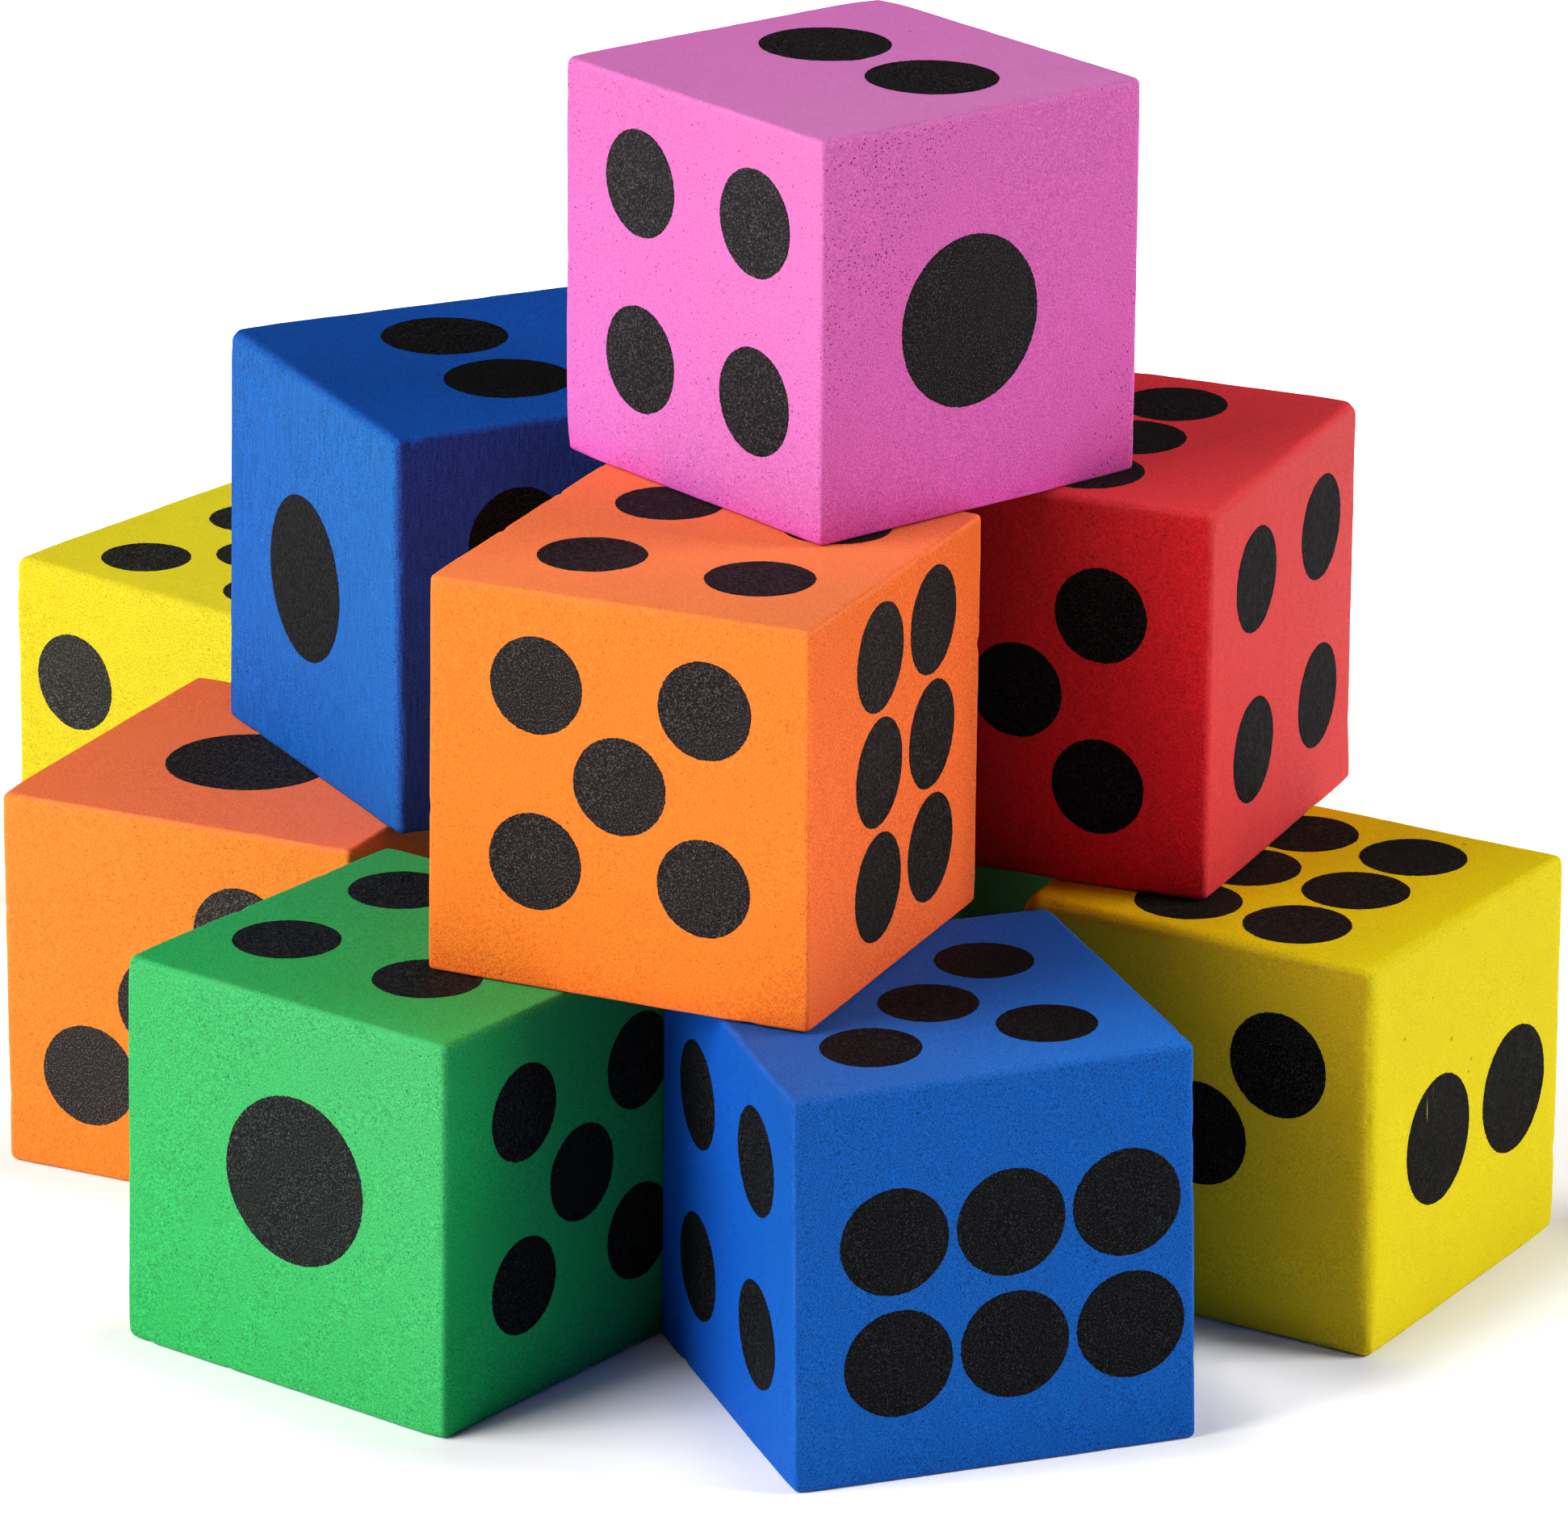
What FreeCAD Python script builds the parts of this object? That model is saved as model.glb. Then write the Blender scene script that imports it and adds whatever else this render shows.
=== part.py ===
import FreeCAD, Part
import os, math
import Sketcher

# Stack of soft foam dice. Every die is one foam cube with rounded edges and the
# thin layer of black ink that is printed on its six faces. Ten dice stand in three
# levels: six on the floor, three on top of those and one on the very top.
#
# Millimetres, +Z up. The origin is the middle of the stack's footprint, on the
# floor. -Y is the front of the stack and +X is its right-hand side.

os.makedirs("parts", exist_ok=True)
doc = FreeCAD.newDocument("FoamDice")

# ------------------------------------------------------------------ dimensions
sheet = doc.addObject("Spreadsheet::Sheet", "Sizes")
row_number = [0]


def cell(alias, value, note=""):
    row_number[0] += 1
    r = row_number[0]
    sheet.set("A%d" % r, alias)
    sheet.set("B%d" % r, repr(float(value)))
    sheet.setAlias("B%d" % r, alias)
    if note:
        sheet.set("C%d" % r, note)


cell("die_edge", 38.0, "edge of a foam cube")
cell("large_edge", 39.4, "edge of the one cube that is cut oversize")
cell("edge_round", 0.85, "radius along the cube's edges")
cell("ink_depth", 0.25, "thickness of the printed ink and of its seat")
cell("ink_clear", 0.02, "gap round the rim of each printed spot")
cell("level_gap", 0.02, "air between one level of dice and the next")
cell("spot_one", 16.3, "spot diameter on a face of one")
cell("spot_two", 12.5, "spot diameter on a face of two")
cell("spot_three", 10.2, "spot diameter on a face of three")
cell("spot_four", 10.2, "spot diameter on a face of four")
cell("spot_five", 9.3, "spot diameter on a face of five")
cell("spot_six", 10.3, "spot diameter on a face of six")
cell("pair_pitch", 15.2, "centre distance of the two spots of a two")
cell("square_pitch", 16.8, "side of the square of a three, four or five")
cell("six_long", 11.0, "pitch along the rows of three of a six")
cell("six_short", 11.8, "distance between the two rows of a six")

# die: (x, y, turn about Z in degrees, level, oversize?)
DICE = {
    "green_back": (6.62, -18.00, -32.20, 0, False),
    "green_front": (-31.09, -53.18, -37.26, 0, False),
    "blue_front": (15.82, -66.65, -70.93, 0, False),
    "yellow_right": (50.64, -33.49, -32.18, 0, False),
    "orange_left": (-47.13, -3.37, -26.17, 0, False),
    "yellow_left": (-50.17, 64.24, -38.32, 0, False),
    "orange_upper": (-4.40, -50.74, -24.32, 1, False),
    "blue_upper": (-25.13, 2.14, -63.03, 1, True),
    "red": (32.38, -16.62, -23.53, 1, False),
    "pink": (8.67, -25.22, -50.99, 2, False),
}

# Faces in the die's own frame, whose origin is the middle of its underside.
# face: (plane, side of that plane), left = -Y, right = +X, back = +Y, far = -X.
FACES = {
    "top": ("XY_Plane", 1),
    "bottom": ("XY_Plane", 0),
    "left": ("XZ_Plane", 1),
    "back": ("XZ_Plane", -1),
    "right": ("YZ_Plane", 1),
    "far": ("YZ_Plane", -1),
}

# What is printed on each face: pattern, and how far off centre and how many
# degrees askew the print sits, because the prints aren't well centred.
PRINTS = {
    "pink": {
        "top": ("2h", -0.4, 3.4, 1.0), "left": ("4", 0.7, 0.8, 0.0), "right": ("1", -1.5, -0.7, 0.0),
        "bottom": ("5", 0.6, -0.9, 0.5), "back": ("3u", -0.7, 0.5, -0.8), "far": ("6v", 0.9, -0.4, 0.6),
    },
    "blue_upper": {
        "top": ("2h", -1.1, -1.6, -1.0), "left": ("1", -1.6, -0.3, 0.0), "right": ("3d", 1.4, -0.2, 0.0),
        "bottom": ("5", 0.5, 0.8, 0.7), "back": ("6h", -0.6, 0.9, 0.9), "far": ("4", 1.1, 0.4, -0.7),
    },
    "orange_upper": {
        "top": ("4", 0.2, 1.2, 0.0), "left": ("5", 0.2, 1.6, 0.0), "right": ("6v", 2.3, 0.9, 0.0),
        "bottom": ("3u", -0.8, 0.6, 0.8), "back": ("2v", 0.9, -1.1, -0.9), "far": ("1", -0.7, 1.2, 0.0),
    },
    "red": {
        "top": ("6v", -2.5, -0.6, 1.0), "left": ("5", -0.5, -0.7, 0.0), "right": ("4", 1.0, 0.8, 0.0),
        "bottom": ("1", 0.9, -0.5, 0.0), "back": ("2h", 0.7, 1.3, 1.2), "far": ("3d", -0.8, -1.0, -0.6),
    },
    "green_front": {
        "top": ("4", -1.7, 1.9, 0.0), "left": ("1", 1.3, 1.7, 0.0), "right": ("5", 0.9, 0.8, 0.0),
        "bottom": ("3u", 0.8, -0.6, 0.5), "back": ("6v", -0.5, 0.7, -0.7), "far": ("2h", 1.2, -0.8, 0.9),
    },
    "blue_front": {
        "top": ("5", 0.9, 0.0, 0.0), "left": ("4", 0.0, 0.6, 0.6), "right": ("6h", 1.6, -1.4, 1.6),
        "bottom": ("2h", -0.6, 0.7, -0.5), "back": ("3d", 0.8, 1.0, 0.8), "far": ("1", -1.1, 0.6, 0.0),
    },
    "yellow_right": {
        "top": ("6v", 1.2, -0.5, -0.6), "left": ("3u", 0.8, -0.5, 0.0), "right": ("2h", 2.1, -1.7, 0.0),
        "bottom": ("1", 0.4, 0.9, 0.0), "back": ("4", -0.9, 0.8, 0.7), "far": ("5", 0.6, -1.0, -0.5),
    },
    "orange_left": {
        "top": ("1", -1.9, -0.8, 0.0), "left": ("3u", -1.3, -0.2, 0.0), "right": ("2v", 0.5, 0.7, 0.6),
        "bottom": ("6h", 0.3, -0.5, 0.4), "back": ("4", 0.9, -0.7, -0.8), "far": ("5", -0.8, 1.1, 0.6),
    },
    "yellow_left": {
        "top": ("5", 0.0, -1.9, 0.0), "left": ("3d", -2.4, -1.3, 0.0), "right": ("1", 0.7, -0.6, 0.0),
        "bottom": ("2v", -0.5, 0.8, 0.6), "back": ("4", 1.0, 0.5, 0.9), "far": ("6h", -0.6, -0.9, -0.7),
    },
    "green_back": {
        "top": ("2v", 0.7, -0.8, 0.7), "left": ("6h", -0.4, 0.6, -0.6), "right": ("3d", 0.9, 0.5, 0.0),
        "bottom": ("5", 0.5, 0.4, 0.4), "back": ("1", -1.0, 0.9, 0.0), "far": ("4", 0.6, -0.7, 0.8),
    },
}

for die, (x, y, turn, level, big) in DICE.items():
    cell(die + "_x", x)
    cell(die + "_y", y)
    cell(die + "_turn", turn)
    for face, (pattern, u, v, askew) in PRINTS[die].items():
        cell("%s_%s_u" % (die, face), u)
        cell("%s_%s_v" % (die, face), v)
        cell("%s_%s_askew" % (die, face), askew)
doc.recompute()

# Spot places: multiples of the pitches, (x pitch, factor, y pitch, factor).
Q, P, LG, SH = "square_pitch", "pair_pitch", "six_long", "six_short"
CORNERS = [(Q, -0.5, Q, -0.5), (Q, 0.5, Q, -0.5), (Q, -0.5, Q, 0.5), (Q, 0.5, Q, 0.5)]
PATTERNS = {
    "1": ("spot_one", [(Q, 0, Q, 0)]),
    "2h": ("spot_two", [(P, -0.5, P, 0), (P, 0.5, P, 0)]),
    "2v": ("spot_two", [(P, 0, P, -0.5), (P, 0, P, 0.5)]),
    "3u": ("spot_three", [(Q, -0.5, Q, -0.5), (Q, 0, Q, 0), (Q, 0.5, Q, 0.5)]),
    "3d": ("spot_three", [(Q, -0.5, Q, 0.5), (Q, 0, Q, 0), (Q, 0.5, Q, -0.5)]),
    "4": ("spot_four", CORNERS),
    "5": ("spot_five", CORNERS + [(Q, 0, Q, 0)]),
    "6v": ("spot_six", [(SH, i, LG, j) for i in (-0.5, 0.5) for j in (-1, 0, 1)]),
    "6h": ("spot_six", [(LG, j, SH, i) for i in (-0.5, 0.5) for j in (-1, 0, 1)]),
}

EXPECTED = {}


def value(alias):
    return float(sheet.get(alias))


def origin_plane(body, role):
    for feature in body.Origin.OriginFeatures:
        if feature.Role == role:
            return feature
    raise RuntimeError("no plane " + role)


def square_sketch(body, name, edge):
    """A square of the cube's edge, centred on the body's XY plane."""
    sketch = body.newObject("Sketcher::SketchObject", name)
    sketch.AttachmentSupport = [(origin_plane(body, "XY_Plane"), "")]
    sketch.MapMode = "FlatFace"
    half = value(edge) / 2
    pts = [(-half, -half), (half, -half), (half, half), (-half, half)]
    for i in range(4):
        a, b = pts[i], pts[(i + 1) % 4]
        sketch.addGeometry(Part.LineSegment(FreeCAD.Vector(a[0], a[1], 0), FreeCAD.Vector(b[0], b[1], 0)), False)
    for i in range(4):
        sketch.addConstraint(Sketcher.Constraint("Coincident", i, 2, (i + 1) % 4, 1))
    for i, kind in enumerate(("Horizontal", "Vertical", "Horizontal", "Vertical")):
        sketch.addConstraint(Sketcher.Constraint(kind, i))
    sketch.addConstraint(Sketcher.Constraint("Symmetric", 0, 1, 1, 2, -1, 1))
    width = sketch.addConstraint(Sketcher.Constraint("DistanceX", 0, 1, 0, 2, 2 * half))
    depth = sketch.addConstraint(Sketcher.Constraint("DistanceY", 1, 1, 1, 2, 2 * half))
    sketch.setExpression("Constraints[%d]" % width, "Sizes.%s" % edge)
    sketch.setExpression("Constraints[%d]" % depth, "Sizes.%s" % edge)
    return sketch


def print_sketch(body, name, die, face, edge, shrink):
    """The circles of one face's print, on that face's plane."""
    plane, side = FACES[face]
    pattern = PRINTS[die][face][0]
    spot, places = PATTERNS[pattern]
    sketch = body.newObject("Sketcher::SketchObject", name)
    sketch.AttachmentSupport = [(origin_plane(body, plane), "")]
    sketch.MapMode = "FlatFace"
    sketch.AttachmentOffset = FreeCAD.Placement(
        FreeCAD.Vector(0, 0, 0), FreeCAD.Rotation(FreeCAD.Vector(0, 0, 1), 1.0)
    )
    sketch.setExpression("AttachmentOffset.Base.x", "Sizes.%s_%s_u" % (die, face))
    if plane == "XY_Plane":
        sketch.setExpression("AttachmentOffset.Base.y", "Sizes.%s_%s_v" % (die, face))
        sketch.setExpression("AttachmentOffset.Base.z", "Sizes.%s * %d" % (edge, side))
    else:
        sketch.setExpression("AttachmentOffset.Base.y", "Sizes.%s_%s_v + Sizes.%s / 2" % (die, face, edge))
        sketch.setExpression("AttachmentOffset.Base.z", "Sizes.%s / 2 * %d" % (edge, side))
    sketch.setExpression("AttachmentOffset.Rotation.Angle", "Sizes.%s_%s_askew * 1 deg" % (die, face))
    radius = value(spot) / 2
    for i, (px, fx, py, fy) in enumerate(places):
        cx, cy = value(px) * fx, value(py) * fy
        sketch.addGeometry(Part.Circle(FreeCAD.Vector(cx, cy, 0), FreeCAD.Vector(0, 0, 1), radius), False)
        c = sketch.addConstraint(Sketcher.Constraint("Radius", i, radius))
        sketch.setExpression("Constraints[%d]" % c, "Sizes.%s / 2%s" % (spot, " - Sizes.ink_clear" if shrink else ""))
        if fx == 0:
            sketch.addConstraint(Sketcher.Constraint("PointOnObject", i, 3, -2))
        else:
            c = sketch.addConstraint(Sketcher.Constraint("DistanceX", -1, 1, i, 3, cx))
            sketch.setExpression("Constraints[%d]" % c, "Sizes.%s * %s" % (px, fx))
        if fy == 0:
            sketch.addConstraint(Sketcher.Constraint("PointOnObject", i, 3, -1))
        else:
            c = sketch.addConstraint(Sketcher.Constraint("DistanceY", -1, 1, i, 3, cy))
            sketch.setExpression("Constraints[%d]" % c, "Sizes.%s * %s" % (py, fy))
    area = len(places) * math.pi * (radius - (value("ink_clear") if shrink else 0)) ** 2
    return sketch, area * value("ink_depth")


def place(body, die):
    """Turn the die about Z and put it on its level of the stack."""
    body.Placement = FreeCAD.Placement(
        FreeCAD.Vector(0, 0, 0), FreeCAD.Rotation(FreeCAD.Vector(0, 0, 1), 1.0)
    )
    body.setExpression("Placement.Base.x", "Sizes.%s_x" % die)
    body.setExpression("Placement.Base.y", "Sizes.%s_y" % die)
    body.setExpression("Placement.Base.z", "(Sizes.die_edge + Sizes.level_gap) * %d" % DICE[die][3])
    body.setExpression("Placement.Rotation.Angle", "Sizes.%s_turn * 1 deg" % die)


def foam_block(die):
    """The cube of foam: padded square, rounded edges, a shallow seat under each spot."""
    node = die + "_foam_block"
    edge = "large_edge" if DICE[die][4] else "die_edge"
    body = doc.addObject("PartDesign::Body", node)
    body.Label = node
    base = square_sketch(body, node + "_square", edge)
    pad = body.newObject("PartDesign::Pad", node + "_pad")
    pad.Profile = base
    pad.setExpression("Length", "Sizes.%s" % edge)
    doc.recompute()
    fillet = body.newObject("PartDesign::Fillet", node + "_round")
    fillet.Base = (pad, ["Edge%d" % (i + 1) for i in range(12)])
    fillet.setExpression("Radius", "Sizes.edge_round")
    doc.recompute()
    before = fillet.Shape.Volume
    for face in FACES:
        sketch, cut = print_sketch(body, "%s_%s_seats" % (node, face), die, face, edge, False)
        pocket = body.newObject("PartDesign::Pocket", "%s_%s_pocket" % (node, face))
        pocket.Profile = sketch
        pocket.setExpression("Length", "Sizes.ink_depth")
        pocket.Reversed = FACES[face][1] != 1
        doc.recompute()
        after = pocket.Shape.Volume
        if abs((before - after) - cut) > 0.02 * cut:
            raise RuntimeError("%s %s: pocket took %.3f, not %.3f" % (node, face, before - after, cut))
        before = after
    place(body, die)
    return body


def printed_pips(die):
    """The printed ink: a thin disc in each seat, flush with the face."""
    node = die + "_printed_pips"
    edge = "large_edge" if DICE[die][4] else "die_edge"
    body = doc.addObject("PartDesign::Body", node)
    body.Label = node
    body.AllowCompound = True
    total = 0.0
    for face in FACES:
        sketch, volume = print_sketch(body, "%s_%s_spots" % (node, face), die, face, edge, True)
        pad = body.newObject("PartDesign::Pad", "%s_%s_ink" % (node, face))
        pad.Profile = sketch
        pad.setExpression("Length", "Sizes.ink_depth")
        pad.Reversed = FACES[face][1] == 1
        total += volume
    place(body, die)
    EXPECTED[node] = (21, total)
    return body


nodes = []
for die in DICE:
    nodes.append(foam_block(die))
    nodes.append(printed_pips(die))
doc.recompute()

# ----------------------------------------------------------------- self checks
bad = [o.Name for o in doc.Objects if "Invalid" in o.State or "Error" in o.State]
if bad:
    raise RuntimeError("failed objects: %s" % bad)
for body in nodes:
    shape = body.Shape
    if shape.isNull() or not shape.isValid():
        raise RuntimeError(body.Label + " has no valid shape")
    count, volume = EXPECTED.get(body.Label, (1, None))
    if len(shape.Solids) != count:
        raise RuntimeError("%s has %d solids" % (body.Label, len(shape.Solids)))
    if volume and abs(shape.Volume - volume) > 0.01 * volume:
        raise RuntimeError("%s volume %.2f, not %.2f" % (body.Label, shape.Volume, volume))

box = FreeCAD.BoundBox()
for body in nodes:
    body.Shape.exportStep("parts/%s.step" % body.Label)
    box.add(body.Shape.BoundBox)
    print("%-28s solids %2d  volume %10.2f mm3" % (body.Label, len(body.Shape.Solids), body.Shape.Volume))
print("box", [round(v, 3) for v in (box.XMin, box.YMin, box.ZMin, box.XMax, box.YMax, box.ZMax)])
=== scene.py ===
import math

import bpy
import numpy as np
from mathutils import Matrix, Vector


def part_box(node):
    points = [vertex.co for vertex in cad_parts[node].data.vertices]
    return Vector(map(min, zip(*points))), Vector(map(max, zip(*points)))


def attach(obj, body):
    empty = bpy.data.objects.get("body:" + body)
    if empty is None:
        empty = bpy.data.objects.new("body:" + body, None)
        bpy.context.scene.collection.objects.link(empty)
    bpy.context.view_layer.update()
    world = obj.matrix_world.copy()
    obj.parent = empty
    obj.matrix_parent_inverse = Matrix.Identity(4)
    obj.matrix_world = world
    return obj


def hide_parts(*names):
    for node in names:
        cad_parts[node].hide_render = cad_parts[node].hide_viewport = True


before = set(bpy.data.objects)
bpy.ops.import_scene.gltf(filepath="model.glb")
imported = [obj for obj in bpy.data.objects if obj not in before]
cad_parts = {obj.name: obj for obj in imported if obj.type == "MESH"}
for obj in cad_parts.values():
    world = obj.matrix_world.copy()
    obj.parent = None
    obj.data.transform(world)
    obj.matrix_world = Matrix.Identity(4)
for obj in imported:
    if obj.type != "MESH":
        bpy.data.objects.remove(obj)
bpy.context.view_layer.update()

MM = 0.001

# ----------------------------------------------------------------------------
# The dice: turn about Z (degrees), as in the CAD model; the place and the edge
# length of each one are read from the frame.
# foam: linear base colour. round: edge radius in mm; edges: other radii, where an
# edge is named by the two faces that meet there. open: how open the cut cells are,
# on the top, left and right faces and on the rest. seed: the die's own noise.
# corners: radii of single corners. low: painted glow, a deeper and more saturated colour over the last few mm above the
# underside. pull: how far (mm, row axes) a corner of the die lies off a true cube, for
# the corners given as signs of the die's own x, y, z. rim: extra paleness on an edge: wear, made stronger as a painted
# highlight.
# pores: how many cells are open pores, deep: how dark those are.
# ink: how dark the print is on the top, left, right faces and the rest (1 is normal); on the top, left and right faces
# this is also painted shade and painted light, lower on faces in shadow and higher on lit ones.
# ----------------------------------------------------------------------------
DICE = {
    "pink": dict(
        turn=-50.99, slot="pink", foam=(0.4595, 0.0988, 0.3134), round=0.42, seed=11,
        edges={("left", "far"): 0.50}, open=(0.30, 0.62, 0.86, 0.8), streak=0.0, pores=0.45, deep=1.1,
        corners={("far", "back", "top"): 1.3, ("left", "far", "bottom"): 0.8},
        # low: painted glow over the underside
        low=((1.06, 0.50, 0.86), 1.7), ink=(0.66, 1.0, 0.75, 0.8),
        pull={(-1, -1, -1): (0.2, 0, 0), (-1, -1, 1): (0.25, 0, 0.25), (1, -1, -1): (0.25, 0, 0),
              (1, -1, 1): (0.3, -0.2, 0.35), (1, 1, 1): (0.1, 0, -0.15), (-1, 1, 1): (0.1, 0, -0.3)},
    ),
    "orange_upper": dict(
        turn=-24.32, slot="orange", foam=(0.6724, 0.1369, 0.0197), round=0.34, seed=23,
        edges={}, open=(0.45, 0.75, 0.85, 0.8), streak=0.0, pores=0.55, bump=0.38,
        # low: painted glow over the underside
        low=((1.04, 0.72, 0.80), 1.4), ink=(0.82, 1.15, 0.85, 0.9),
        pull={(-1, -1, -1): (-0.2, 0, 0), (-1, -1, 1): (0.3, 0, 0), (1, -1, -1): (0, -0.6, 0), (1, 1, 1): (0.25, 0, 0)},
    ),
    "blue_upper": dict(
        turn=-63.03, slot="blue", wave=1.4, foam=(0.0037, 0.0522, 0.2681), round=0.80, seed=37,
        edges={("left", "top"): 1.0, ("left", "right"): 0.85, ("right", "top"): 0.7, ("left", "bottom"): 0.6},
        open=(0.85, 1.05, 1.15, 0.9), streak=0.55, pores=0.30, ink=(0.42, 0.46, 0.5, 0.6),
        pull={(-1, -1, -1): (-0.2, 0, 0), (-1, -1, 1): (0.35, 0, 0.45), (1, 1, 1): (-0.15, 0, 0.15)},
    ),
    "red": dict(
        turn=-23.53, slot="red", wave=1.7, foam=(0.5454, 0.0244, 0.0289), round=0.85, seed=41,
        edges={("left", "top"): 1.25, ("right", "top"): 0.9, ("left", "right"): 0.8, ("right", "back"): 1.2,
               ("left", "bottom"): 0.55, ("right", "bottom"): 0.5},
        open=(0.60, 0.95, 0.65, 0.8), streak=0.10, pores=0.22, ink=(0.75, 0.30, 0.38, 0.6),
        pull={(-1, -1, 1): (0.3, 0, 0), (1, 1, -1): (0.2, 0, 0.25), (1, 1, 1): (0.2, 0, 0.5), (-1, 1, 1): (0.5, 0.4, 0.5)},
    ),
    "green_front": dict(
        turn=-37.26, slot="green", foam=(0.0186, 0.2686, 0.0714), round=0.45, seed=53,
        edges={("left", "top"): 0.55, ("left", "far"): 0.6, ("left", "right"): 0.42},
        # rim: painted highlight on the front top and front upright edges, over the rubbed paleness
        open=(0.80, 1.0, 0.85, 0.9), streak=0.0, pores=0.45, rim={("left", "top"): 3.0, ("left", "right"): 1.6},
        ink=(0.85, 1.0, 0.45, 0.8),
        pull={(-1, -1, -1): (-0.45, 0.5, 0), (-1, -1, 1): (0.2, 0, 0), (1, -1, -1): (-0.3, -1.0, 0), (1, 1, -1): (-0.05, -0.5, 0)},
    ),
    "blue_front": dict(
        turn=-70.93, slot="blue", foam=(0.0025, 0.0735, 0.3542), round=0.60, seed=67,
        edges={("right", "top"): 0.50, ("left", "top"): 0.42, ("left", "right"): 0.42},
        open=(0.80, 0.70, 1.20, 0.9), streak=0.10, pores=0.25, ink=(0.55, 0.55, 0.55, 0.6),
        pull={(1, -1, -1): (0, -1.8, 0), (1, -1, 1): (-0.3, -1.8, -0.25), (1, 1, -1): (0.6, -0.8, 0), (-1, -1, -1): (-0.1, -0.5, 0),
              (1, 1, 1): (-0.2, 0, 0.1)},
    ),
    "yellow_right": dict(
        turn=-32.18, slot="yellow", wave=2.2, foam=(0.5975, 0.4553, 0.0026), round=0.95, seed=71,
        scuff=((19.0, -6.6, 1.6), 3.4),
        edges={("left", "right"): 1.75, ("left", "top"): 1.7, ("right", "top"): 1.0, ("right", "back"): 0.6,
               ("left", "bottom"): 0.8, ("right", "bottom"): 0.7},
        open=(0.40, 0.55, 0.38, 0.5), streak=0.0, pores=0.10, ink=(0.7, 0.35, 0.42, 0.6),
        pull={(-1, -1, -1): (0, -0.6, 0), (-1, -1, 1): (0.3, 0, 0), (1, -1, -1): (0.7, -1.2, 0)},
    ),
    "orange_left": dict(
        turn=-26.17, slot="orange", foam=(0.6987, 0.1561, 0.0217), round=0.42, seed=83,
        edges={("left", "far"): 0.7, ("left", "bottom"): 0.6}, open=(0.55, 0.70, 0.8, 0.7), streak=0.0, pores=0.40,
        ink=(1.1, 1.7, 1.0, 0.9),
        pull={(1, -1, 1): (0.3, 0, 0.2), (-1, 1, 1): (0.3, 0, 0.4)},
    ),
    "yellow_left": dict(
        turn=-38.32, slot="yellow", foam=(0.5344, 0.4300, 0.0069), round=0.90, seed=97,
        edges={("left", "top"): 1.05, ("left", "far"): 0.9}, open=(0.40, 0.80, 0.6, 0.7), streak=0.0, pores=0.30, ink=(1.0, 1.5, 1.0, 1.0),
        pull={(1, -1, -1): (0.5, 0, 0), (1, -1, 1): (-0.05, 0, -0.4), (-1, -1, -1): (0, -0.8, 0)},
    ),
    "green_back": dict(
        turn=-32.20, slot="green", foam=(0.019, 0.290, 0.070), round=0.60, seed=103,
        edges={}, open=(0.8, 0.9, 0.9, 0.9), streak=0.0, pores=0.40,
    ),
}

# Painted light and shade on each visible face: the die's colour is multiplied face by face, lower on faces that lie in
# shadow and higher on lit ones, and the weak channels carry painted reflected colour.
PAINTED_FACE_SHADE = {
    "pink": {
        "top": (0.959, 1.21, 1.06),
        "left": (0.918, 0.983, 0.93),
        "right": (0.89, 0.732, 0.842),
    },
    "orange_upper": {
        "top": (1.03, 1.07, 2.36),
        "left": (0.945, 1.04, 0.673),
        "right": (0.924, 0.749, 0.97),
    },
    "blue_upper": {
        "top": (0.2, 0.88, 0.969),
        "left": (1, 1.31, 1.01),
        "right": (4, 0.82, 0.95),
    },
    "red": {
        "top": (1.16, 1.25, 1.35),
        "left": (0.66, 0.2, 0.246),
        "right": (0.822, 1.39, 1.19),
    },
    "green_front": {
        "top": (1.57, 1.01, 0.881),
        "left": (1.53, 1.1, 1.09),
        "right": (0.22, 0.66, 0.737),
    },
    "blue_front": {
        "top": (4.5, 0.984, 0.894),
        "left": (0.2, 0.818, 0.982),
        "right": (0.628, 0.991, 0.91),
    },
    "yellow_right": {
        "top": (1.18, 0.981, 0.375),
        "left": (0.66, 0.66, 2.05),
        "right": (0.906, 0.959, 0.2),
    },
    "orange_left": {
        "top": (1.04, 0.863, 2.38),
        "left": (0.914, 1.05, 0.766),
    },
    "yellow_left": {
        "top": (0.976, 1.02, 1.61),
        "left": (0.894, 0.94, 1.38),
    },
}
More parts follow.
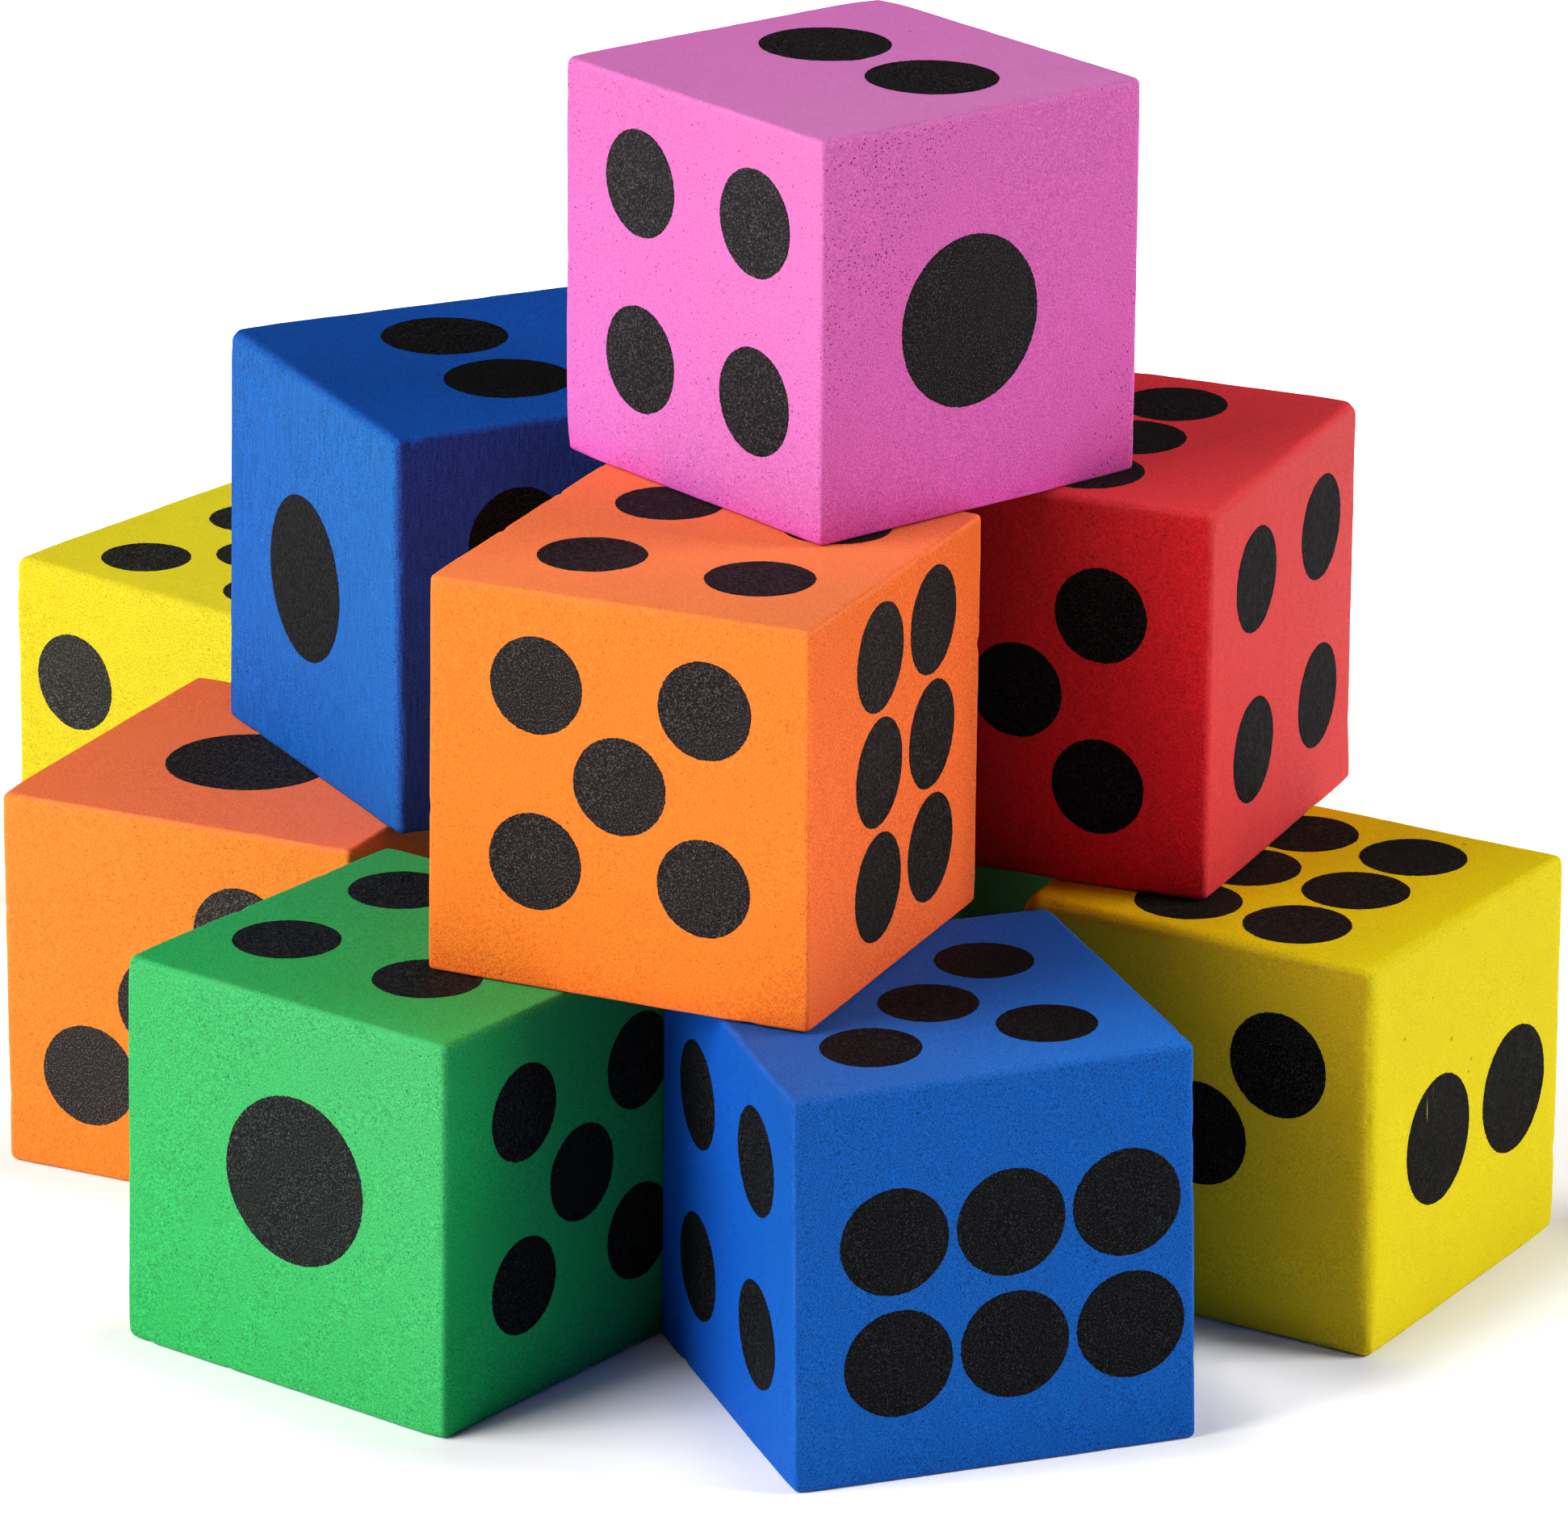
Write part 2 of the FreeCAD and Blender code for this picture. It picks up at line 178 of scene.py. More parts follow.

# The painted shade also drifts over a face, as a painted gradient of light and shadow: by these amounts (natural log)
# per edge length, along the face's u and v.
PAINTED_SHADE_DRIFT = {
    "pink": {
        "top": ((0.00, 0.11, 0.00), (0.00, 0.00, 0.00)),
        "left": ((0.05, 0.12, 0.00), (-0.08, -0.15, -0.25)),
        "right": ((0.00, 0.00, 0.00), (-0.15, 0.10, -0.07)),
    },
    "orange_upper": {
        "top": ((-0.10, -0.06, -0.06), (0.28, 0.00, 0.35)),
        "left": ((0.00, 0.00, 0.06), (0.00, 0.00, 0.31)),
        "right": ((0.00, -0.08, -0.18), (-0.36, -0.30, -0.80)),
    },
    "blue_upper": {
        "top": ((0.59, 0.39, 0.36), (-0.20, 0.00, 0.09)),
        "left": ((0.55, 0.14, 0.00), (-0.28, 0.00, -0.17)),
    },
    "red": {
        "top": ((0.06, 0.48, 0.18), (0.08, 0.00, 0.08)),
        "left": ((0.80, 0.80, 0.80), (-0.44, -0.11, -0.35)),
        "right": ((-0.05, 0.35, 0.36), (-0.29, -0.07, -0.07)),
    },
    "green_front": {
        "top": ((0.80, -0.10, -0.27), (0.59, -0.28, -0.21)),
        "left": ((0.31, 0.00, 0.12), (0.29, -0.14, 0.00)),
        "right": ((0.14, -0.74, -0.16), (-0.15, -0.65, -0.56)),
    },
    "blue_front": {
        "top": ((-0.06, 0.64, 0.43), (-0.42, 0.38, 0.39)),
        "left": ((-0.80, 0.00, -0.38), (-0.14, -0.26, -0.30)),
        "right": ((-0.17, 0.00, 0.00), (-0.16, -0.15, -0.14)),
    },
    "yellow_right": {
        "top": ((-0.23, 0.24, 0.46), (0.05, 0.00, 0.51)),
        "left": ((0.29, 0.07, -0.80), (-0.27, -0.43, -0.75)),
        "right": ((0.00, 0.00, -0.79), (-0.21, -0.22, 0.80)),
    },
    "orange_left": {
        "top": ((-0.05, -0.08, 0.38), (0.00, -0.14, 0.00)),
        "left": ((0.00, 0.00, -0.17), (0.00, 0.05, 0.25)),
    },
    "yellow_left": {
        "top": ((0.00, 0.00, 0.33), (-0.06, 0.00, 0.00)),
        "left": ((0.00, 0.09, 0.59), (0.00, 0.00, -0.18)),
    },
}

# Printed faces: pattern, off-centre u and v in mm, degrees askew (as in the CAD model).
PRINTS = {
    "pink": {
        "top": ("2h", -0.4, 3.4, 1.0), "left": ("4", 0.7, 0.8, 0.0), "right": ("1", -1.5, -0.7, 0.0),
        "bottom": ("5", 0.6, -0.9, 0.5), "back": ("3u", -0.7, 0.5, -0.8), "far": ("6v", 0.9, -0.4, 0.6),
    },
    "blue_upper": {
        "top": ("2h", -1.1, -1.6, -1.0), "left": ("1", -1.6, -0.3, 0.0), "right": ("3d", 1.4, -0.2, 0.0),
        "bottom": ("5", 0.5, 0.8, 0.7), "back": ("6h", -0.6, 0.9, 0.9), "far": ("4", 1.1, 0.4, -0.7),
    },
    "orange_upper": {
        "top": ("4", 0.2, 1.2, 0.0), "left": ("5", 0.2, 1.6, 0.0), "right": ("6v", 2.3, 0.9, 0.0),
        "bottom": ("3u", -0.8, 0.6, 0.8), "back": ("2v", 0.9, -1.1, -0.9), "far": ("1", -0.7, 1.2, 0.0),
    },
    "red": {
        "top": ("6v", -2.5, -0.6, 1.0), "left": ("5", -0.5, -0.7, 0.0), "right": ("4", 1.0, 0.8, 0.0),
        "bottom": ("1", 0.9, -0.5, 0.0), "back": ("2h", 0.7, 1.3, 1.2), "far": ("3d", -0.8, -1.0, -0.6),
    },
    "green_front": {
        "top": ("4", -1.7, 1.9, 0.0), "left": ("1", 1.3, 1.7, 0.0), "right": ("5", 0.9, 0.8, 0.0),
        "bottom": ("3u", 0.8, -0.6, 0.5), "back": ("6v", -0.5, 0.7, -0.7), "far": ("2h", 1.2, -0.8, 0.9),
    },
    "blue_front": {
        "top": ("5", 0.9, 0.0, 0.0), "left": ("4", 0.0, 0.6, 0.6), "right": ("6h", 1.6, -1.4, 1.6),
        "bottom": ("2h", -0.6, 0.7, -0.5), "back": ("3d", 0.8, 1.0, 0.8), "far": ("1", -1.1, 0.6, 0.0),
    },
    "yellow_right": {
        "top": ("6v", 1.2, -0.5, -0.6), "left": ("3u", 0.8, -0.5, 0.0), "right": ("2h", 2.1, -1.7, 0.0),
        "bottom": ("1", 0.4, 0.9, 0.0), "back": ("4", -0.9, 0.8, 0.7), "far": ("5", 0.6, -1.0, -0.5),
    },
    "orange_left": {
        "top": ("1", -1.9, -0.8, 0.0), "left": ("3u", -1.3, -0.2, 0.0), "right": ("2v", 0.5, 0.7, 0.6),
        "bottom": ("6h", 0.3, -0.5, 0.4), "back": ("4", 0.9, -0.7, -0.8), "far": ("5", -0.8, 1.1, 0.6),
    },
    "yellow_left": {
        "top": ("5", 0.0, -1.9, 0.0), "left": ("3d", -2.4, -1.3, 0.0), "right": ("1", 0.7, -0.6, 0.0),
        "bottom": ("2v", -0.5, 0.8, 0.6), "back": ("4", 1.0, 0.5, 0.9), "far": ("6h", -0.6, -0.9, -0.7),
    },
    "green_back": {
        "top": ("2v", 0.7, -0.8, 0.7), "left": ("6h", -0.4, 0.6, -0.6), "right": ("3d", 0.9, 0.5, 0.0),
        "bottom": ("5", 0.5, 0.4, 0.4), "back": ("1", -1.0, 0.9, 0.0), "far": ("4", 0.6, -0.7, 0.8),
    },
}
SPOT = {"1": 16.3, "2": 12.5, "3": 10.2, "4": 10.2, "5": 9.3, "6": 10.3}
PAIR, SQUARE, LONG, SHORT = 15.2, 16.8, 11.0, 11.8
Q = SQUARE / 2
FOUR = [(-Q, -Q), (Q, -Q), (-Q, Q), (Q, Q)]
PATTERN = {
    "1": [(0, 0)],
    "2h": [(-PAIR / 2, 0), (PAIR / 2, 0)],
    "2v": [(0, -PAIR / 2), (0, PAIR / 2)],
    "3u": [(-Q, -Q), (0, 0), (Q, Q)],
    "3d": [(-Q, Q), (0, 0), (Q, -Q)],
    "4": FOUR,
    "5": FOUR + [(0, 0)],
    "6v": [(i * SHORT, j * LONG) for i in (-0.5, 0.5) for j in (-1, 0, 1)],
    "6h": [(j * LONG, i * SHORT) for i in (-0.5, 0.5) for j in (-1, 0, 1)],
}
# face: axis of its normal, sign, axis of u, axis of v (the die's own axes)
FACE = {
    "top": (2, 1, 0, 1), "bottom": (2, -1, 0, 1),
    "left": (1, -1, 0, 2), "back": (1, 1, 0, 2),
    "right": (0, 1, 1, 2), "far": (0, -1, 1, 2),
}


# ------------------------------------------------------------------ camera
# Long lens from the front, a little above the stack.
camera_data = bpy.data.cameras.new("camera")
camera = bpy.data.objects.new("camera", camera_data)
bpy.context.scene.collection.objects.link(camera)
camera_data.lens = 222.45
camera_data.sensor_fit = "HORIZONTAL"
camera_data.sensor_width = 36.0
camera_data.clip_start = 0.05
camera_data.clip_end = 60.0
tilt = math.radians(90.0 - 19.3151)
camera.matrix_world = (
    Matrix.Translation((2.815 * MM, -890.1 * MM, 348.53 * MM))
    @ Matrix.Rotation(tilt, 4, "X")
    @ Matrix.Rotation(math.radians(0.2603), 4, "Z")
)
bpy.context.scene.camera = camera


# ------------------------------------------------------------------ noise
def lattice(i, j, k, seed):
    h = (
        i.astype(np.int64) * 374761393
        + j.astype(np.int64) * 668265263
        + k.astype(np.int64) * 1274126177
        + seed * 362437
    ) & 0xFFFFFFFF
    h = ((h ^ (h >> 13)) * 1103515245) & 0xFFFFFFFF
    h = ((h ^ (h >> 16)) * 2246822519) & 0xFFFFFFFF
    h = h ^ (h >> 15)
    return (h & 0xFFFFFF).astype(float) / float(0xFFFFFF) * 2.0 - 1.0


def noise(p, size, seed):
    """Smooth noise from -1 to 1 over points p in mm, with lumps about size across."""
    q = np.asarray(p, float) / size + 57.31
    base = np.floor(q)
    f = q - base
    f = f * f * f * (f * (f * 6 - 15) + 10)
    i, j, k = (base[:, n].astype(np.int64) for n in range(3))
    total = np.zeros(len(q))
    for a in (0, 1):
        for b in (0, 1):
            for c in (0, 1):
                w = (
                    (f[:, 0] if a else 1 - f[:, 0])
                    * (f[:, 1] if b else 1 - f[:, 1])
                    * (f[:, 2] if c else 1 - f[:, 2])
                )
                total += w * lattice(i + a, j + b, k + c, seed)
    return total


class Die:
    """One die's shape in its own frame: mm, origin at the middle of the cube."""

    def __init__(self, name):
        d = DICE[name]
        self.name, self.seed, self.look = name, d["seed"], dict(d, painted_shade=PAINTED_FACE_SHADE.get(name, {}), painted_drift=PAINTED_SHADE_DRIFT.get(name, {}))
        low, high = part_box(name + "_foam_block")
        self.centre = (low + high) / 2 / MM
        self.edge = (high.z - low.z) / MM
        self.half = self.edge / 2
        self.turn = math.radians(d["turn"])
        h = self.half - 0.85
        wide = 2 * (h * (abs(math.cos(self.turn)) + abs(math.sin(self.turn))) + 0.85)
        if abs(wide - (high.x - low.x) / MM) > 0.4:
            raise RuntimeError(name + " isn't turned as the CAD model has it")
        rng = np.random.default_rng(self.seed)
        # small nicks and pressed places along the edges, and shallow dimples on the faces
        self.marks = []
        for _ in range(16):
            p = rng.uniform(-self.half, self.half, 3)
            ax = rng.permutation(3)[:2]
            p[ax] = np.sign(rng.uniform(-1, 1, 2)) * (self.half - 0.1)
            self.marks.append((p, rng.uniform(0.04, 0.20), rng.uniform(0.35, 0.9)))
        for _ in range(12):
            p = rng.uniform(-self.half + 2, self.half - 2, 3)
            ax = rng.integers(3)
            p[ax] = np.sign(rng.uniform(-1, 1)) * self.half
            self.marks.append((p, rng.uniform(0.02, 0.07), rng.uniform(0.5, 1.4)))

    def to_row(self, p):
        c, s = math.cos(self.turn), math.sin(self.turn)
        out = np.empty_like(p)
        out[:, 0] = c * p[:, 0] - s * p[:, 1] + self.centre.x
        out[:, 1] = s * p[:, 0] + c * p[:, 1] + self.centre.y
        out[:, 2] = p[:, 2] + self.centre.z
        q = np.clip(p / self.half, -1.0, 1.0)
        for signs, off in self.look.get("pull", {}).items():
            share = np.prod([(1 + s * q[:, n]) / 2 for n, s in enumerate(signs)], axis=0)
            out += share[:, None] * np.array(off)
        return out * MM

    def radius(self, p):
        """Edge radius at points of the sharp cube: uneven, its own at named edges, larger at the corners."""
        h = self.half
        r = np.full(len(p), self.look["round"])
        under = np.exp(-((h + p[:, 2]) ** 2) / 3.0**2)
        r = r * (1 - under) + min(0.34, self.look["round"]) * under
        for pair, wanted in self.look["edges"].items():
            gap = np.zeros(len(p))
            for face in pair:
                axis, sign = FACE[face][:2]
                gap += (h - sign * p[:, axis]) ** 2
            share = np.exp(-gap / 3.2**2)
            r = r * (1 - share) + wanted * share
        r = r * (1 + 0.15 * noise(p, 8.0, self.seed) + 0.09 * noise(p, 2.6, self.seed + 1))
        corner = ((h - np.abs(p)) ** 2).sum(1)
        r = r * (1 + 0.25 * np.exp(-corner / 2.2**2)) + 0.08 * np.exp(-corner / 1.0**2)
        for trio, wanted in self.look.get("corners", {}).items():
            gap = sum((h - FACE[face][1] * p[:, FACE[face][0]]) ** 2 for face in trio)
            share = np.exp(-gap / 2.6**2)
            r = r * (1 - share) + wanted * share
        return r

    def sink(self, p):
        """How far the cut surface lies inside the nominal cube, in mm, always 0.02 or more."""
        s, wave = self.seed, self.look.get("wave", 1.0)
        d = 0.030 + 0.012 * wave + wave * (0.022 * noise(p, 13.0, s + 2) + 0.011 * noise(p, 4.3, s + 3))
        d += 0.009 * noise(p, 1.6, s + 4) + 0.010 * noise(p, 0.8, s + 5)
        for q, deep, wide in self.marks:
            d += deep * np.exp(-((p - q) ** 2).sum(1) / wide**2)
        return np.maximum(d, 0.02)


# ------------------------------------------------------------------ meshes
def to_mesh(name, verts, faces, smooth=True):
    """A mesh from points and from faces, each kind an array of one width."""
    mesh = bpy.data.meshes.new(name)
    verts = np.ascontiguousarray(verts, dtype=np.float32)
    mesh.vertices.add(len(verts))
    mesh.vertices.foreach_set("co", verts.ravel())
    faces = [np.asarray(f, dtype=np.int32) for f in faces]
    loops = np.concatenate([f.ravel() for f in faces])
    sizes = np.concatenate([np.full(len(f), f.shape[1]) for f in faces])
    mesh.loops.add(len(loops))
    mesh.loops.foreach_set("vertex_index", loops)
    mesh.polygons.add(len(sizes))
    mesh.polygons.foreach_set("loop_start", np.concatenate([[0], np.cumsum(sizes)[:-1]]).astype(np.int32))
    mesh.update(calc_edges=True)
    if mesh.validate():
        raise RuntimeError(name + " has bad faces")
    mesh.polygons.foreach_set("use_smooth", [smooth] * len(mesh.polygons))
    mesh.update()
    return mesh


def foam_mesh(die):
    h = die.half
    band = np.array([0, 0.10, 0.22, 0.36, 0.52, 0.72, 0.97, 1.28, 1.66, 2.1])
    inner = np.linspace(-(h - 2.1), h - 2.1, 92)
    g = np.concatenate([-h + band[:-1], inner, (h - band[:-1])[::-1]])
    m = len(g)
    last = m - 1
    skin = np.zeros((m, m, m), bool)
    skin[[0, last]] = skin[:, [0, last]] = skin[:, :, [0, last]] = True
    index = np.full((m, m, m), -1)
    index[skin] = np.arange(skin.sum())
    p = g[np.argwhere(skin)]
    quads = []
    for axis in range(3):
        for side in (0, last):
            ids = np.take(index, side, axis=axis)
            if axis == 1:
                ids = ids.T
            a, b, c, d = ids[:-1, :-1], ids[1:, :-1], ids[1:, 1:], ids[:-1, 1:]
            quads.append(np.stack([a, b, c, d] if side else [a, d, c, b], -1).reshape(-1, 4))
    r = die.radius(p)[:, None]
    core = np.clip(p, -(h - r), h - r)
    out = p - core
    out /= np.linalg.norm(out, axis=1)[:, None]
    surface = core + out * r - out * die.sink(p)[:, None]
    mesh = to_mesh(die.name + "_foam", die.to_row(surface), [np.concatenate(quads)])
    # how near each point is to an edge of the cube, for the edge wear and the painted highlight in the material
    near = np.sort(h - np.abs(p), axis=1)[:, 1]
    edge_wear_and_highlight = mesh.attributes.new("edge_wear_and_highlight", "FLOAT", "POINT")
    wear_plus_highlight = np.exp(-near / 0.45)
    # painted highlight: on the edges named in rim the paleness is made stronger
    for pair, gain in die.look.get("rim", {}).items():
        gap = sum((h - FACE[face][1] * p[:, FACE[face][0]]) ** 2 for face in pair)
        wear_plus_highlight += (gain - 1) * np.exp(-gap / 0.9**2)
    edge_wear_and_highlight.data.foreach_set("value", wear_plus_highlight.astype(np.float32))
    # how open the cells of each cut face are
    top, left, right, rest = die.look["open"]
    level = {"top": top, "left": left, "right": right, "bottom": rest, "back": rest, "far": rest}
    total, value = np.zeros(len(p)), np.zeros(len(p))
    for face, (axis, sign, _, _) in FACE.items():
        share = np.exp(-((h - sign * p[:, axis]) ** 2) / 0.7**2) + 1e-9
        total += share
        value += share * level[face]
    # painted light and shade on each cut face, and its painted drift over the face
    painted_shade = np.zeros((len(p), 4))
    total = np.zeros(len(p))
    for face, (axis, sign, ua, va) in FACE.items():
        share = np.exp(-((h - sign * p[:, axis]) ** 2) / 0.4**2) + 1e-9
        total += share
        painted_tint = np.ones((len(p), 4))
        painted_tint[:, :3] = die.look["painted_shade"].get(face, (1.0, 1.0, 1.0))
        # painted drift: a gradient of light and shadow over the face
        along_u, along_v = die.look["painted_drift"].get(face, ((0, 0, 0), (0, 0, 0)))
        painted_tint[:, :3] *= np.exp((p[:, [ua]] * np.array(along_u) + p[:, [va]] * np.array(along_v)) / die.edge)
        painted_shade += share[:, None] * painted_tint
    painted_shade /= total[:, None]
    # painted glow: the colour is made deeper and more saturated over the last few mm above the underside
    if "low" in die.look:
        painted_tint, reach = die.look["low"]
        share = np.exp(-(h + p[:, 2]) / reach)[:, None]
        painted_shade[:, :3] *= 1 - share + share * np.array(painted_tint)
    painted_light_and_shade = mesh.attributes.new("painted_light_and_shade", "FLOAT_COLOR", "POINT")
    painted_light_and_shade.data.foreach_set("color", painted_shade.astype(np.float32).ravel())
    cells = mesh.attributes.new("open", "FLOAT", "POINT")
    cells.data.foreach_set("value", (value / total).astype(np.float32))
    return mesh


def ink_mesh(die):
    """The printed spots: thin closed films that lie on the foam and follow its surface."""
    h = die.half
    verts, quads, tris, tones = [], [], [], []
    # the print's tone by face: on the top, left and right faces also painted shade and painted light
    top, left, right, rest = die.look.get("ink", (1.0, 1.0, 1.0, 1.0))
    dark = {"top": top, "left": left, "right": right, "bottom": rest, "back": rest, "far": rest}
    count = 0
    spot_no = 0
    for face, (pattern, du, dv, askew) in PRINTS[die.name].items():
        axis, sign, ua, va = FACE[face]
        ca, sa = math.cos(math.radians(askew)), math.sin(math.radians(askew))
        flip = (sign > 0) != ((ua, va, axis) in ((0, 1, 2), (1, 2, 0)))
        for cu, cv in PATTERN[pattern]:
            spot_no += 1
            radius = SPOT[pattern[0]] / 2
            u0, v0 = du + ca * cu - sa * cv, dv + sa * cu + ca * cv
            n = 640 if radius > 7 else (480 if radius > 5.5 else 400)
            t = np.linspace(0, 2 * math.pi, n, endpoint=False)
            ring3 = np.stack([np.cos(t), np.sin(t), np.zeros(n)], 1)
            # the rim wanders a little: a slow wobble, and the foam's cells at the edge of the print
            rim = radius + 0.030 * noise(ring3 * 2.2, 1.0, die.seed * 31 + spot_no)
            rim += 0.014 * noise(ring3 * radius, 0.50, die.seed * 17 + spot_no)
            rim += 0.050 * noise(ring3 * radius, 0.17, die.seed * 13 + spot_no)
            # rings from the rim inwards: (share of the way in or mm from the rim, lift over the foam, points)
            rings = [(rim, -0.030, n), (rim - 0.02, 0.010, n), (rim - 0.07, 0.026, n)]
            half_way = rim.reshape(-1, 2).mean(1)
            quarter = rim.reshape(-1, 4).mean(1)
            rings.append((half_way - 0.17, 0.032, n // 2))
            rings.append((quarter - 0.38, 0.034, n // 4))
            k = int(math.ceil((radius - 0.4) / 0.8))
            for share in np.linspace(0, 1, k + 1)[1:-1]:
                rings.append(((quarter - 0.38) * (1 - share), 0.034, n // 4))
            uv, up, starts = [], [], []
            at = 0
            for rad, lift, m in rings:
                a = np.linspace(0, 2 * math.pi, m, endpoint=False)
                uv.append(np.stack([u0 + rad * np.cos(a), v0 + rad * np.sin(a)], 1))
                up.append(np.full(m, lift))
                starts.append(at)
                at += m
            uv.append(np.array([[u0, v0]]))
            up.append(np.array([0.034]))
            uv, up = np.concatenate(uv), np.concatenate(up)
            p = np.zeros((len(uv), 3))
            p[:, ua], p[:, va], p[:, axis] = uv[:, 0], uv[:, 1], sign * h
            sink = die.sink(p)
            p[:, axis] = sign * (h - sink + up)
            # the underside, inside the foam
            low = np.zeros((n + 1, 3))
            low[:n, ua] = uv[:n, 0] * 0.995 + u0 * 0.005
            low[:n, va] = uv[:n, 1] * 0.995 + v0 * 0.005
            low[n, ua], low[n, va] = u0, v0
            low[:, axis] = sign * (h - sink.max() - 0.09)
            f4, f3 = [], []
            for (_, _, m), (_, _, m2), a, b in zip(rings[:-1], rings[1:], starts[:-1], starts[1:]):
                if m == m2:
                    i = np.arange(m)
                    j = (i + 1) % m
                    f4.append(np.stack([a + i, a + j, b + j, b + i], 1))
                else:
                    i = np.arange(m2)
                    j = (i + 1) % m2
                    f3.append(np.stack([a + 2 * i, a + 2 * i + 1, b + i], 1))
                    f3.append(np.stack([a + 2 * i + 1, a + (2 * i + 2) % m, b + j], 1))
                    f3.append(np.stack([a + 2 * i + 1, b + j, b + i], 1))
            m = rings[-1][2]
            i = np.arange(m)
            f3.append(np.stack([starts[-1] + i, starts[-1] + (i + 1) % m, np.full(m, at)], 1))
            lo = len(p)
            i = np.arange(n)
            j = (i + 1) % n
            f4.append(np.stack([lo + i, lo + j, j, i], 1))
            f3.append(np.stack([lo + j, lo + i, np.full(n, lo + n)], 1))
            f4, f3 = np.concatenate(f4) + count, np.concatenate(f3) + count
            quads.append(f4[:, ::-1] if flip else f4)
            tris.append(f3[:, ::-1] if flip else f3)
            verts.append(p)
            verts.append(low)
            tones.append(np.full(len(p) + n + 1, dark[face]))
            count += len(p) + n + 1
    mesh = to_mesh(die.name + "_ink", die.to_row(np.concatenate(verts)), [np.concatenate(quads), np.concatenate(tris)])
    tone = mesh.attributes.new("tone", "FLOAT", "POINT")
    tone.data.foreach_set("value", np.concatenate(tones).astype(np.float32))
    return mesh


# ------------------------------------------------------------------ materials
def nodes_of(name):
    mat = bpy.data.materials.new(name)
    mat.use_nodes = True
    tree = mat.node_tree
    tree.nodes.clear()
    return mat, tree


class Graph:
    """A short way to write node trees."""

    def __init__(self, tree):
        self.t = tree

    def node(self, kind, inputs=None, **props):
        n = self.t.nodes.new(kind)
        for k, v in props.items():
            setattr(n, k, v)
        for k, v in (inputs or {}).items():
            self.put(n.inputs[k], v)
        return n

    def put(self, socket, v):
        if isinstance(v, bpy.types.NodeSocket):
            self.t.links.new(v, socket)
        else:
            socket.default_value = v

    def math(self, op, a, b=None, c=None, clamp=False):
        n = self.node("ShaderNodeMath", operation=op, use_clamp=clamp)
        self.put(n.inputs[0], a)
        if b is not None:
            self.put(n.inputs[1], b)
        if c is not None:
            self.put(n.inputs[2], c)
        return n.outputs[0]

    def noise(self, vec, scale, detail=2.0, rough=0.5, dist=0.0):
        n = self.node(
            "ShaderNodeTexNoise",
            {"Vector": vec, "Scale": scale, "Detail": detail, "Roughness": rough, "Distortion": dist},
        )
        return n.outputs["Fac"]

    def cells(self, vec, scale, feature="F1", rand=1.0):
        n = self.node("ShaderNodeTexVoronoi", {"Vector": vec, "Scale": scale, "Randomness": rand}, feature=feature)
        return n

    def ramp(self, fac, lo, hi, a=0.0, b=1.0, smooth=True):
        n = self.node(
            "ShaderNodeMapRange",
            {"Value": fac, "From Min": lo, "From Max": hi, "To Min": a, "To Max": b},
            clamp=True,
            interpolation_type="SMOOTHSTEP" if smooth else "LINEAR",
        )
        return n.outputs["Result"]

    def mix(self, fac, a, b, blend="MIX"):
        n = self.node("ShaderNodeMix", data_type="RGBA", blend_type=blend)
        self.put(n.inputs[0], fac)
        self.put(n.inputs[6], a)
        self.put(n.inputs[7], b)
        return n.outputs[2]

    def scaled(self, vec, s):
        n = self.node("ShaderNodeVectorMath", {0: vec, 1: s}, operation="MULTIPLY")
        return n.outputs[0]


def local_vector(g, die):
    """The die's own frame, in metres, so that the pattern turns with the die."""
    tex = g.node("ShaderNodeTexCoord")
    m = g.node("ShaderNodeMapping", {"Vector": tex.outputs["Object"]}, vector_type="TEXTURE")
    m.inputs["Location"].default_value = (die.centre.x * MM, die.centre.y * MM, die.centre.z * MM)
    m.inputs["Rotation"].default_value = (0, 0, die.turn)
    shift = g.node(
        "ShaderNodeVectorMath",
        {0: m.outputs[0], 1: (0.137 * die.seed, 0.071 * die.seed, 0.033 * die.seed)},
        operation="ADD",
    )
    return m.outputs[0], shift.outputs[0]


def dots(g, vec, scale, share, size, soft=0.06):
    """Round dots, one in some of the cells of a random pattern: share of cells, largest radius in cells."""
    cell = g.cells(vec, scale)
    chance = g.node("ShaderNodeSeparateColor", {"Color": cell.outputs["Color"]}).outputs[0]
    radius = g.ramp(chance, 1.0 - share, 1.0, -soft, size, False)
    return g.ramp(g.math("SUBTRACT", radius, cell.outputs["Distance"]), 0.0, soft)


